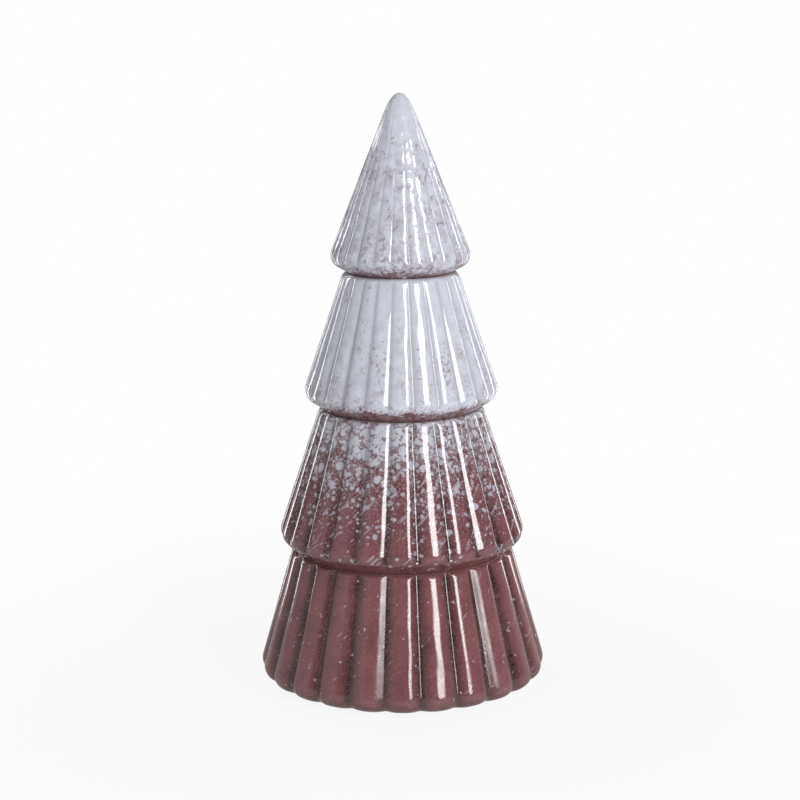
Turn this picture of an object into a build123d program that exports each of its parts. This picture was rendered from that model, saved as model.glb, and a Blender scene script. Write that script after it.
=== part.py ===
from build123d import *

import os
from dataclasses import dataclass
from math import acos, atan2, cos, hypot, pi, radians, sin, tan

# Ceramic tree of four fluted, hollow-cast tiers that are stacked and luted together.
# Millimetres. The origin is the middle of the resting plane, +Z is up and -Y is the front.

# Heights, from one seat to the next
BUMPER_THICKNESS = 1.5
BASE_HEIGHT = 44.2
LOWER_HEIGHT = 49.0
UPPER_HEIGHT = 46.1
APEX_HEIGHT = 59.2

# Radii: each tier flares from its top to its rim, and its underside draws in to the neck below
APEX_RIM_RADIUS = 23.45
APEX_OVERHANG = 5.95
UPPER_FLARE = 13.3
UPPER_OVERHANG = 6.6
LOWER_FLARE = 13.7
LOWER_OVERHANG = 5.65
BASE_FLARE = 11.1
FOOT_INSET = 4.0

# Rims: height of the widest ring above the tier's seat, and roundings
APEX_RIM_RISE = 5.7
UPPER_RIM_RISE = 6.5
LOWER_RIM_RISE = 6.8
BASE_RIM_RISE = 4.7
RIM_ROUND = 4.0
FOOT_ROUND = 4.5
NECK_STEP = 1.8

# Tip: radius that the straight flank would have at the tip's height
TIP_REACH = 2.6

# Ribs: round pillows with sharp grooves between them, in line from tier to tier
RIB_COUNT = 24
APEX_RIB_DEPTH = 0.8
APEX_TOP_RIB_DEPTH = 0.2
UPPER_RIB_DEPTH = 1.5
UPPER_TOP_RIB_DEPTH = 0.4
LOWER_RIB_DEPTH = 2.2
LOWER_TOP_RIB_DEPTH = 1.4
BASE_RIB_DEPTH = 3.0
BASE_TOP_RIB_DEPTH = 2.2
CREST_RELIEF = 0.05
GROOVE_END_ANGLE = radians(-35)
GROOVE_FADE_BELOW_TIP = 12.0

# Shares of the rib's depth that are left on the way round the rim
RUN_OUT_SHARES = (1.0, 0.9, 0.6, 0.0)
FOOT_SHARES = (1.0, 1.0, 0.95, 0.9, 0.85)

# Cast walls, and the collar of each tier that enters the opening of the tier above
WALL = 4.5
CAVITY_TIP_RADIUS = 3.0
SEAT_WIDTH = 4.0
COLLAR_WALL = 3.0
COLLAR_HEIGHT = 4.0
COLLAR_HEADROOM = 1.0
FIT_CLEARANCE = 0.3

# Foot: a plate in the rebate of the base tier, with the kiln vent in its middle
FOOT_RING_WIDTH = 7.0
PLATE_THICKNESS = 5.0
LEDGE_WIDTH = 3.0
LEDGE_HEIGHT = 3.0
LEDGE_SLOPE_HEIGHT = 5.0
VENT_RADIUS = 5.0
VENT_CHAMFER = 0.8

# Bumper feet
BUMPER_COUNT = 4
BUMPER_RADIUS = 5.0
BUMPER_EDGE_INSET = 4.0
BUMPER_EDGE_ROUND = 0.6

RIB_PITCH_ANGLE = 2 * pi / RIB_COUNT
FRONT_ANGLE = -pi / 2


def polar(radius, angle):
    """Point of the XY plane at a radius and an angle in radians."""
    return (radius * cos(angle), radius * sin(angle))


def tangent_angle(point, centre, radius, side):
    """Angle at the centre of the circle where a line from the point touches it."""
    across = point[0] - centre[0]
    along = point[1] - centre[1]
    return atan2(along, across) + side * acos(radius / hypot(across, along))


def revolved(points, rounds):
    """Turn a closed half section of (radius, height) points round Z, rounding the listed corners."""
    section = make_face(Polyline(*points, close=True))
    for corner, radius in rounds:
        nearest = section.vertices().sort_by_distance((corner[0], corner[1], 0))[0]
        section = fillet(nearest, radius)
    return revolve(Plane.XZ * section, axis=Axis.Z)


@dataclass
class Tier:
    """Outer form of one tier between its seat and its top, and the depth of its ribs."""

    seat: float
    height: float
    rim_radius: float
    rim_rise: float
    rim_round: float
    neck_radius: float
    top_radius: float
    rib_depth: float
    top_rib_depth: float

    @property
    def top(self):
        """Height of the seat that this tier gives to the tier above."""
        return self.seat + self.height

    @property
    def rim_centre(self):
        """Middle of the rim's rounding in the half section."""
        return (self.rim_radius - self.rim_round, self.seat + self.rim_rise)

    @property
    def flank_angle(self):
        """Angle above level of the line that stands square on the flank."""
        top_corner = (self.top_radius, self.top)
        return tangent_angle(top_corner, self.rim_centre, self.rim_round, -1)

    @property
    def under_angle(self):
        """Angle above level of the line that stands square on the underside."""
        neck = (self.neck_radius, self.seat)
        return tangent_angle(neck, self.rim_centre, self.rim_round, 1)

    @property
    def rim_corner(self):
        """Point where flank and underside would meet without the rounding."""
        middle = (self.flank_angle + self.under_angle) / 2
        half_turn = (self.flank_angle - self.under_angle) / 2
        reach = self.rim_round / cos(half_turn)
        centre = self.rim_centre
        return (centre[0] + reach * cos(middle), centre[1] + reach * sin(middle))

    def flank(self, height):
        """Radius of the straight flank at a height."""
        return self.top_radius + (self.top - height) * tan(self.flank_angle)


def rib_section(height, valley_radius, depth):
    """Level outline of all ribs: one arc each, from valley to valley over the crest."""
    edges = []
    for rib in range(RIB_COUNT):
        middle = FRONT_ANGLE + rib * RIB_PITCH_ANGLE
        start = polar(valley_radius, middle - RIB_PITCH_ANGLE / 2)
        crest = polar(valley_radius + depth, middle)
        end = polar(valley_radius, middle + RIB_PITCH_ANGLE / 2)
        edges.append(ThreePointArc(start, crest, end))
    return Pos(0, 0, height) * make_face(edges)


def rim_sections(tier, end_angle, shares):
    """Rib sections that follow the rim's rounding from the flank down, with a share of the depth in each.

    The crests lie just inside the turned envelope, and just outside it where the grooves have ended.
    """
    sections = []
    for step, share in enumerate(shares):
        angle = tier.flank_angle + (end_angle - tier.flank_angle) * step / (len(shares) - 1)
        outline = tier.rim_centre[0] + tier.rim_round * cos(angle)
        height = tier.rim_centre[1] + tier.rim_round * sin(angle)
        crest = outline - CREST_RELIEF * (2 * share - 1)
        depth = share * tier.rib_depth
        sections.append(rib_section(height, crest - depth, depth))
    return sections


def run_out_sections(tier):
    """Lower rib sections of a tier whose grooves come to the surface on the rim's rounding."""
    below = rib_section(tier.seat, tier.rim_radius, 0)
    return rim_sections(tier, GROOVE_END_ANGLE, RUN_OUT_SHARES) + [below]


def foot_sections(tier):
    """Lower rib sections of the base tier, whose grooves run round the rim and on to the foot."""
    depth = FOOT_SHARES[-1] * tier.rib_depth
    foot = rib_section(tier.seat, tier.neck_radius - CREST_RELIEF - depth, depth)
    return rim_sections(tier, tier.under_angle, FOOT_SHARES) + [foot]


def top_section(tier):
    """Rib section at the tier's shoulder."""
    valley = tier.flank(tier.top) - tier.top_rib_depth - CREST_RELIEF
    return rib_section(tier.top, valley, tier.top_rib_depth)


def apex_top_section(tier):
    """Rib section at the tip, so wide that the grooves reach the surface below it."""
    fade = tier.top - GROOVE_FADE_BELOW_TIP
    start = tier.rim_centre[1] + tier.rim_round * sin(tier.flank_angle)
    stand_off = tier.rib_depth * GROOVE_FADE_BELOW_TIP / (fade - start)
    return rib_section(tier.top, tier.flank(tier.top) + stand_off, tier.top_rib_depth)


def tier_body(tier, sections):
    """Solid tier: the rib loft held inside the turned envelope with its round rim and shoulder."""
    corner = tier.rim_corner
    shoulder = (tier.top_radius, tier.top)
    shoulder_round = NECK_STEP * tan(pi / 4 + tier.flank_angle / 2)
    outline = [
        (0, tier.seat),
        (tier.neck_radius, tier.seat),
        corner,
        shoulder,
        (0, tier.top),
    ]
    envelope = revolved(outline, [(corner, tier.rim_round), (shoulder, shoulder_round)])
    return envelope & loft(sections, ruled=True)


def apex_body(tier, sections):
    """Solid top tier: as the others, but its flank bends over into a round tip."""
    tip_start = tier.top - tier.top_radius / tan(tier.flank_angle)
    corner = tier.rim_corner
    flank_end = (2 * tier.top_radius, tip_start)
    edges = [
        Line((0, tier.top), (0, tier.seat)),
        Line((0, tier.seat), (tier.neck_radius, tier.seat)),
        Line((tier.neck_radius, tier.seat), corner),
        Line(corner, flank_end),
        Bezier(flank_end, (tier.top_radius, tier.top), (0, tier.top)),
    ]
    section = make_face(edges)
    nearest = section.vertices().sort_by_distance((corner[0], corner[1], 0))[0]
    section = fillet(nearest, tier.rim_round)
    envelope = revolve(Plane.XZ * section, axis=Axis.Z)
    return envelope & loft(sections, ruled=True)


def opening_radius(tier):
    """Radius of the hole in a tier's underside, which takes the collar of the tier below."""
    return tier.neck_radius - SEAT_WIDTH


def collar_radius(neck_radius):
    """Outer radius of the collar that stands inside a neck."""
    return neck_radius - SEAT_WIDTH - FIT_CLEARANCE


def inner_flank(tier, height):
    """Radius of the cavity behind the ribs at a height."""
    return tier.flank(height) - tier.rib_depth - WALL


def underside_cavity(tier):
    """Points of the cavity from the opening up to the inner flank, at an even wall."""
    opening = opening_radius(tier)
    lip = tier.seat + COLLAR_HEIGHT + COLLAR_HEADROOM
    corner = tier.rim_corner
    slope = (corner[1] - tier.seat) / (corner[0] - tier.neck_radius)
    side = inner_flank(tier, corner[1])
    side_height = lip + (side - opening) * slope
    return [
        (0, tier.seat),
        (opening, tier.seat),
        (opening, lip),
        (inner_flank(tier, side_height), side_height),
    ]


def foot_cavity(tier):
    """Points of the base tier's rebate for the foot plate, its ledge and the slope above it."""
    recess = tier.neck_radius - FOOT_RING_WIDTH
    ledge = recess - LEDGE_WIDTH
    plate_top = tier.seat + PLATE_THICKNESS
    ledge_top = plate_top + LEDGE_HEIGHT
    side_height = ledge_top + LEDGE_SLOPE_HEIGHT
    return [
        (0, tier.seat),
        (recess, tier.seat),
        (recess, plate_top),
        (ledge, plate_top),
        (ledge, ledge_top),
        (inner_flank(tier, side_height), side_height),
    ]


def hollow_with_collar(tier, body, lower_points, neck_above):
    """Add the collar on a tier's top and take out its cavity, through the collar."""
    collar = collar_radius(neck_above)
    bore = collar - COLLAR_WALL
    roof = tier.top - WALL
    rise = tier.top + COLLAR_HEIGHT
    ring = [(0, roof), (collar, roof), (collar, rise), (0, rise)]
    cavity = lower_points + [
        (inner_flank(tier, roof), roof),
        (bore, roof),
        (bore, rise),
        (0, rise),
    ]
    return body + revolved(ring, []) - revolved(cavity, [])


def hollow_apex(tier, body):
    """Take the closed cavity out of the top tier."""
    roof_radius = CAVITY_TIP_RADIUS + tier.rib_depth + WALL
    roof = tier.top - (roof_radius - tier.top_radius) / tan(tier.flank_angle)
    cavity = underside_cavity(tier) + [(CAVITY_TIP_RADIUS, roof), (0, roof)]
    return body - revolved(cavity, [])


def foot_plate(tier):
    """Round plate that closes the base tier from below, with the chamfered vent."""
    radius = tier.neck_radius - FOOT_RING_WIDTH - FIT_CLEARANCE
    top = tier.seat + PLATE_THICKNESS
    outline = [
        (VENT_RADIUS, tier.seat + VENT_CHAMFER),
        (VENT_RADIUS + VENT_CHAMFER, tier.seat),
        (radius, tier.seat),
        (radius, top),
        (VENT_RADIUS + VENT_CHAMFER, top),
        (VENT_RADIUS, top - VENT_CHAMFER),
    ]
    return revolved(outline, [])


def bumper_foot(tier, number):
    """One stick-on foot under the plate, with its lower edge rounded."""
    circle = tier.neck_radius - FOOT_RING_WIDTH - BUMPER_EDGE_INSET - BUMPER_RADIUS
    place = polar(circle, FRONT_ANGLE + (number + 1 / 2) * 2 * pi / BUMPER_COUNT)
    outline = [(0, 0), (BUMPER_RADIUS, 0), (BUMPER_RADIUS, BUMPER_THICKNESS), (0, BUMPER_THICKNESS)]
    foot = revolved(outline, [((BUMPER_RADIUS, 0), BUMPER_EDGE_ROUND)])
    return Pos(*place, 0) * foot


# The stack of seats, from the resting plane up, and the radii, from the tip down
base_seat = BUMPER_THICKNESS
lower_seat = base_seat + BASE_HEIGHT
upper_seat = lower_seat + LOWER_HEIGHT
apex_seat = upper_seat + UPPER_HEIGHT

apex_neck = APEX_RIM_RADIUS - APEX_OVERHANG
upper_top = apex_neck + NECK_STEP
upper_rim = upper_top + UPPER_FLARE
upper_neck = upper_rim - UPPER_OVERHANG
lower_top = upper_neck + NECK_STEP
lower_rim = lower_top + LOWER_FLARE
lower_neck = lower_rim - LOWER_OVERHANG
base_top = lower_neck + NECK_STEP
base_rim = base_top + BASE_FLARE
foot_radius = base_rim - FOOT_INSET

base = Tier(
    base_seat, BASE_HEIGHT, base_rim, BASE_RIM_RISE, FOOT_ROUND,
    foot_radius, base_top, BASE_RIB_DEPTH, BASE_TOP_RIB_DEPTH,
)
lower = Tier(
    lower_seat, LOWER_HEIGHT, lower_rim, LOWER_RIM_RISE, RIM_ROUND,
    lower_neck, lower_top, LOWER_RIB_DEPTH, LOWER_TOP_RIB_DEPTH,
)
upper = Tier(
    upper_seat, UPPER_HEIGHT, upper_rim, UPPER_RIM_RISE, RIM_ROUND,
    upper_neck, upper_top, UPPER_RIB_DEPTH, UPPER_TOP_RIB_DEPTH,
)
apex = Tier(
    apex_seat, APEX_HEIGHT, APEX_RIM_RADIUS, APEX_RIM_RISE, RIM_ROUND,
    apex_neck, TIP_REACH, APEX_RIB_DEPTH, APEX_TOP_RIB_DEPTH,
)

base_sections = [top_section(base)] + foot_sections(base)
lower_sections = [top_section(lower)] + run_out_sections(lower)
upper_sections = [top_section(upper)] + run_out_sections(upper)
apex_sections = [apex_top_section(apex)] + run_out_sections(apex)

pieces = {
    "base_tier": hollow_with_collar(
        base, tier_body(base, base_sections), foot_cavity(base), lower_neck
    ),
    "lower_tier": hollow_with_collar(
        lower, tier_body(lower, lower_sections), underside_cavity(lower), upper_neck
    ),
    "upper_tier": hollow_with_collar(
        upper, tier_body(upper, upper_sections), underside_cavity(upper), apex_neck
    ),
    "apex_tier": hollow_apex(apex, apex_body(apex, apex_sections)),
    "foot_plate": foot_plate(base),
}
for number in range(BUMPER_COUNT):
    pieces[f"bumper_foot_{number + 1}"] = bumper_foot(base, number)

os.makedirs("parts", exist_ok=True)
for name, shape in pieces.items():
    export_step(shape, f"parts/{name}.step")
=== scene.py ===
"""Looks of a ceramic tree: four fluted tiers under a white glaze that runs out into mauve.

Metres. +Z is up, -Y is the front, and the origin is the middle of the resting plane.
"""
import logging
from dataclasses import dataclass, field, replace
from enum import Enum
from functools import partialmethod
from math import acos, atan2, cos, hypot, pi, radians, sin, tan

import bpy
import numpy as np
from mathutils import Matrix, Vector


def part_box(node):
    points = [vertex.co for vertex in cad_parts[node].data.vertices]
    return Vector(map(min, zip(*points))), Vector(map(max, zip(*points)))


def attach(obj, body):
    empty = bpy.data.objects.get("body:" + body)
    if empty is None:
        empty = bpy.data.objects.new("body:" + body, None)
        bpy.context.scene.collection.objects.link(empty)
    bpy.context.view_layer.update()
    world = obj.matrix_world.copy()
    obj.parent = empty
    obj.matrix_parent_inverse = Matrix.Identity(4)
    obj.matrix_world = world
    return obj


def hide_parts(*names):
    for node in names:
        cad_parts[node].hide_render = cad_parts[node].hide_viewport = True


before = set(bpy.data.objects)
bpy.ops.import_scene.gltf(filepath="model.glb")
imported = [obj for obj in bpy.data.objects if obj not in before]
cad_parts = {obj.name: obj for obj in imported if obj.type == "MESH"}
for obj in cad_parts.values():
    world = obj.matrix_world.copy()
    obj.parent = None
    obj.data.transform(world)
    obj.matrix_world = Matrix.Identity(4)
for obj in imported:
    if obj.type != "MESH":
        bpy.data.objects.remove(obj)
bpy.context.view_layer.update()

log = logging.getLogger("tree")

Node = bpy.types.Node
Socket = bpy.types.NodeSocket
Tree = bpy.types.NodeTree
Material = bpy.types.Material
Colour = tuple[float, float, float, float]
Point = tuple[float, float]
Grid = np.ndarray

# A stretch of a half section: its points, whether it is glazed, and whether it starts at a sharp corner
Stretch = tuple[Grid, bool, bool]

BODY = "root"
FULL_WHITE = (1.0, 1.0, 1.0, 1.0)

# Ribs, in line from tier to tier, with a crest facing the front
RIB_COUNT = 24
RIB_PITCH = 2 * pi / RIB_COUNT
FRONT_ANGLE = -pi / 2
SAMPLES_PER_RIB = 28
CREST_RELIEF = 0.00005
SHOULDER_SOFTNESS = 0.0005

# Least rib depth that a groove is measured by, as a share of the tier's rib depth
LEAST_DEPTH = 0.3

# Cast walls and seats
WALL = 0.0045
SEAT_WIDTH = 0.004
COLLAR_WALL = 0.003
COLLAR_HEIGHT = 0.004
COLLAR_HEADROOM = 0.001
FIT_CLEARANCE = 0.0003
NECK_STEP = 0.0018
WALL_POINTS = 2

# Grooves: where they end round the rim, their shares of depth on the way, and their end below the tip
GROOVE_END_ANGLE = radians(-35)
RUN_OUT_SHARES = (1.0, 0.9, 0.6, 0.0)
FOOT_SHARES = (1.0, 1.0, 0.95, 0.9, 0.85)
GROOVE_FADE_BELOW_TIP = 0.012

# Unevenness of the glazed surface, with the span of waves in a turn and of radians in a metre of height
RIPPLE_HEIGHT = 0.00010
RIPPLE_WAVES = 9
RIPPLE_SEED = 11
RIPPLE_TURNS = (3, 40)
RIPPLE_CLIMB = (40, 420)

# Brushed glaze: its slant, in radians of turn for each metre of height, and how far it is drawn out
SLANT_TWIST = -26.0
DASH_PRESS = 0.5
STREAK_PRESS = 0.16

# Middle of a cloudy noise
NOISE_MIDDLE = 0.5

# Grain: how much finer and weaker its second layer is, what evens it, and the span of its tone
GRAIN_FINER = 3.1
GRAIN_FINE_SHARE = 0.5
GRAIN_EVENED = 0.667
GRAIN_TONE = (0.3, 0.7)

# Pebbles: their warp, what cover and chance give a cell, the disc's reach and the line between cells
PEBBLE_WARP = 1.2
PEBBLE_GAIN = 1.5
PEBBLE_LOSS = -0.6
PEBBLE_REACH = 0.8
PEBBLE_CLOSING = (0.8, 1.1)
PEBBLE_LINE = (0.02, -0.2)
PEBBLE_ONSET = (0.0, 0.12)

# Specks: their noise, their clusters' scale and lift, and the line that their amount lowers
SPECK_DETAIL = 3.0
SPECK_ROUGHNESS = 0.65
SPECK_CLUSTERS = 0.16
SPECK_LIFT = 0.55
SPECK_LINE = 0.78
SPECK_DROP = -0.3
SPECK_EDGE = 0.09


def paint(red: int, green: int, blue: int) -> Colour:
    """Turn display values of 0 to 255 into linear light: straight near black, and a power of 2.4 above."""
    display = np.array([red, green, blue]) / 255
    return (*np.where(display <= 0.04045, display / 12.92, ((display + 0.055) / 1.055) ** 2.4).tolist(), 1.0)


class SocketKind(Enum):
    """Kinds of socket on a shader group."""

    VALUE = "NodeSocketFloat"
    COLOUR = "NodeSocketColor"
    VECTOR = "NodeSocketVector"


class Course(Enum):
    """How a ramp goes from its low to its high end."""

    SMOOTH = "SMOOTHSTEP"
    EVEN = "LINEAR"


class CellRead(Enum):
    """What is read from a pattern of cells."""

    EDGE = "DISTANCE_TO_EDGE"
    MIDDLE = "F1"


@dataclass(frozen=True)
class Cloud:
    """A cloudy noise: its features in a metre, its layers of finer detail and how rough they are."""

    scale: float | Socket
    detail: float = 2.0
    roughness: float = 0.5


class NodeBench:
    """Places the nodes of one shader tree and links them."""

    MIX_FIRST = 6
    MIX_SECOND = 7
    MIX_RESULT = 2

    def __init__(self, tree: Tree) -> None:
        """Start on an emptied tree."""
        self.tree = tree
        tree.nodes.clear()

    @classmethod
    def of(cls, owner: bpy.types.ID) -> "NodeBench":
        """Start on the nodes of a material or a world."""
        owner.use_nodes = True
        return cls(owner.node_tree)

    def put(self, kind: str, feeds: dict | None = None, **settings: object) -> Node:
        """Add a node.

        Args:
            kind: Blender's name of the node.
            feeds: outputs or plain values for its inputs, by their names or numbers.
            settings: the node's own options.

        Returns:
            The new node.
        """
        node = self.tree.nodes.new(kind)
        for name, value in settings.items():
            setattr(node, name, value)
        for name, value in (feeds or {}).items():
            if isinstance(value, Socket):
                self.tree.links.new(value, node.inputs[name])
            else:
                node.inputs[name].default_value = value
        return node

    def maths(self, operation: str, *values: object) -> Socket:
        """Add a Math node and return its value."""
        return self.put("ShaderNodeMath", dict(enumerate(values)), operation=operation).outputs[0]

    # Sums on two values, and the first times the second plus a third
    times = partialmethod(maths, "MULTIPLY")
    plus = partialmethod(maths, "ADD")
    minus = partialmethod(maths, "SUBTRACT")
    power = partialmethod(maths, "POWER")
    larger = partialmethod(maths, "MAXIMUM")
    times_plus = partialmethod(maths, "MULTIPLY_ADD")

    def vectors(self, operation: str, *values: object) -> Socket:
        """Add a Vector Math node and return its vector."""
        feeds = dict(enumerate(values))
        return self.put("ShaderNodeVectorMath", feeds, operation=operation).outputs["Vector"]

    def ramp(self, value: object, start: object, end: object, low: object = 0.0, high: object = 1.0,
             course: Course = Course.SMOOTH) -> Socket:
        """Carry a value from low to high as it goes from start to end."""
        feeds = {"Value": value, "From Min": start, "From Max": end, "To Min": low, "To Max": high}
        return self.put("ShaderNodeMapRange", feeds, interpolation_type=course.value).outputs["Result"]

    def blend(self, share: object, first: object, second: object) -> Socket:
        """Mix two colours, the second by the share given."""
        feeds = {"Factor": share, self.MIX_FIRST: first, self.MIX_SECOND: second}
        return self.put("ShaderNodeMix", feeds, data_type="RGBA").outputs[self.MIX_RESULT]

    def cloud(self, vector: object, cloud: Cloud, read: str = "Fac") -> Socket:
        """Add a cloudy noise and return its value or its colour."""
        feeds = {"Vector": vector, "Scale": cloud.scale}
        feeds |= {"Detail": cloud.detail, "Roughness": cloud.roughness}
        return self.put("ShaderNodeTexNoise", feeds).outputs[read]

    def cells(self, vector: object, scale: object, read: CellRead) -> Node:
        """Add a pattern of cells."""
        return self.put("ShaderNodeTexVoronoi", {"Vector": vector, "Scale": scale}, feature=read.value)

    def attribute(self, name: str) -> Node:
        """Read an attribute of the piece."""
        return self.put("ShaderNodeAttribute", attribute_name=name)

    def place(self) -> Socket:
        """Read where on the piece a point is."""
        return self.put("ShaderNodeTexCoord").outputs["Object"]

    def group(self, tree: Tree, feeds: dict) -> Node:
        """Place a shader group and feed its inputs."""
        return self.put("ShaderNodeGroup", feeds, node_tree=tree)

    def bumped(self, height: object, strength: float, distance: float) -> Socket:
        """Turn a height into a normal."""
        feeds = {"Strength": strength, "Distance": distance, "Height": height}
        return self.put("ShaderNodeBump", feeds).outputs["Normal"]

    def surface(self, feeds: dict) -> None:
        """End the material in a Principled surface."""
        shader = self.put("ShaderNodeBsdfPrincipled", feeds)
        self.put("ShaderNodeOutputMaterial", {"Surface": shader.outputs["BSDF"]})


def new_object(name: str, data: bpy.types.ID) -> bpy.types.Object:
    """Link a new object into the scene, at the origin.

    Args:
        name: the object's name.
        data: its mesh, lamp or camera.

    Returns:
        The new object.
    """
    made = bpy.data.objects.new(name, data)
    bpy.context.scene.collection.objects.link(made)
    return made


class ShaderGroup:
    """A shared effect with named inputs and outputs, built once."""

    KINDS = {"Vector": SocketKind.VECTOR, "Drift": SocketKind.VECTOR, "Color": SocketKind.COLOUR}

    def __init__(self, name: str, inputs: tuple[str, ...], outputs: tuple[str, ...]) -> None:
        """Make the empty group and its sockets, for values where their names call for no other kind.

        Args:
            name: the group's name.
            inputs: names of its inputs.
            outputs: names of its outputs.
        """
        self.tree = bpy.data.node_groups.new(name, "ShaderNodeTree")
        for side, sockets in (("INPUT", inputs), ("OUTPUT", outputs)):
            for socket in sockets:
                kind = self.KINDS.get(socket, SocketKind.VALUE).value
                self.tree.interface.new_socket(name=socket, in_out=side, socket_type=kind)
        self.bench = NodeBench(self.tree)
        self.entry = self.bench.put("NodeGroupInput").outputs

    def give(self, **values: object) -> Tree:
        """Link what the group puts out, by output name, and return the finished group."""
        self.bench.put("NodeGroupOutput", values)
        return self.tree


def grain_group() -> Tree:
    """Fine grain: two layers of cloudy noise, the second about three times finer and half as strong.

    Returns:
        The group, which puts out a height and a tone that vary about one half.
    """
    group = ShaderGroup("fine_grain", ("Vector", "Scale"), ("Height", "Tone"))
    bench, entry = group.bench, group.entry
    vector, scale = entry["Vector"], entry["Scale"]
    coarse = bench.cloud(vector, Cloud(scale))
    fine = bench.cloud(vector, Cloud(bench.times(scale, GRAIN_FINER), detail=1.0))
    height = bench.times_plus(fine, GRAIN_FINE_SHARE, coarse)
    return group.give(Height=bench.times(height, GRAIN_EVENED), Tone=bench.ramp(coarse, *GRAIN_TONE))


def pebble_group() -> Tree:
    """Pebbles of thick glaze: discs in cells, which shrink as the cover thins, with a line between them.

    A cell's strength is the cover times its gain, less a loss by the cell's own chance. The disc reaches out
    from the cell's middle in step with the strength. The line along the cell's edge closes as the strength
    grows.

    Returns:
        The group, which puts out the pebbles' mask.
    """
    group = ShaderGroup("glaze_pebbles", ("Vector", "Scale", "Cover", "Softness", "Ragged"), ("Mask",))
    bench, entry = group.bench, group.entry
    vector, scale, softness = entry["Vector"], entry["Scale"], entry["Softness"]
    warp = bench.cloud(vector, Cloud(bench.times(scale, PEBBLE_WARP), detail=1.0), "Color")
    push = bench.vectors("SUBTRACT", warp, (NOISE_MIDDLE,) * 3)
    reach = bench.maths("DIVIDE", entry["Ragged"], scale)
    place = bench.vectors("ADD", vector, bench.vectors("MULTIPLY", push, reach))
    edge = bench.cells(place, scale, CellRead.EDGE).outputs["Distance"]
    cell = bench.cells(place, scale, CellRead.MIDDLE).outputs
    chance = bench.put("ShaderNodeSeparateColor", {"Color": cell["Color"]}).outputs["Red"]
    strength = bench.times_plus(entry["Cover"], PEBBLE_GAIN, bench.times(chance, PEBBLE_LOSS))
    rim = bench.times(strength, PEBBLE_REACH)
    disc = bench.ramp(cell["Distance"], bench.plus(rim, softness), bench.minus(rim, softness))
    line = bench.ramp(strength, *PEBBLE_CLOSING, *PEBBLE_LINE)
    apart = bench.ramp(edge, line, bench.plus(line, softness))
    present = bench.ramp(strength, *PEBBLE_ONSET)
    return group.give(Mask=bench.times(bench.times(disc, apart), present))


def speck_group() -> Tree:
    """Loose specks: fine noise cut off high, in clusters where a broad noise is high as well.

    Returns:
        The group, which puts out the specks' mask.
    """
    group = ShaderGroup("glaze_specks", ("Vector", "Scale", "Amount"), ("Mask",))
    bench, entry = group.bench, group.entry
    vector, scale = entry["Vector"], entry["Scale"]
    fine = bench.cloud(vector, Cloud(scale, SPECK_DETAIL, SPECK_ROUGHNESS))
    broad = bench.cloud(vector, Cloud(bench.times(scale, SPECK_CLUSTERS)))
    lift = bench.times_plus(bench.minus(broad, NOISE_MIDDLE), SPECK_LIFT, fine)
    line = bench.times_plus(entry["Amount"], SPECK_DROP, SPECK_LINE)
    return group.give(Mask=bench.ramp(lift, line, bench.plus(line, SPECK_EDGE)))


@dataclass(frozen=True)
class GlazeColours:
    """Colours that the glazes of all tiers share."""

    white: Colour = paint(233, 237, 249)
    thin_white: Colour = paint(190, 184, 198)
    # Grey laid into the white's grooves as painted shade
    painted_groove_shade: Colour = paint(104, 104, 112)
    lavender: Colour = paint(204, 200, 215)
    speck: Colour = paint(154, 132, 145)
    mauve: Colour = paint(142, 89, 92)
    # Dark mauve for the grooves: pooled glaze, deepened as painted shade
    mauve_pool_and_shade: Colour = paint(54, 28, 30)
    mauve_pale: Colour = paint(172, 127, 130)
    brown: Colour = paint(102, 57, 56)
    biscuit: Colour = paint(206, 196, 184)


@dataclass(frozen=True)
class PebbleLayer:
    """One size of white pebbles: cells in a metre, edges, opacity and share of the cover."""

    scale: float
    softness: float
    ragged: float
    opacity: float
    share: float = 1.0


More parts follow.
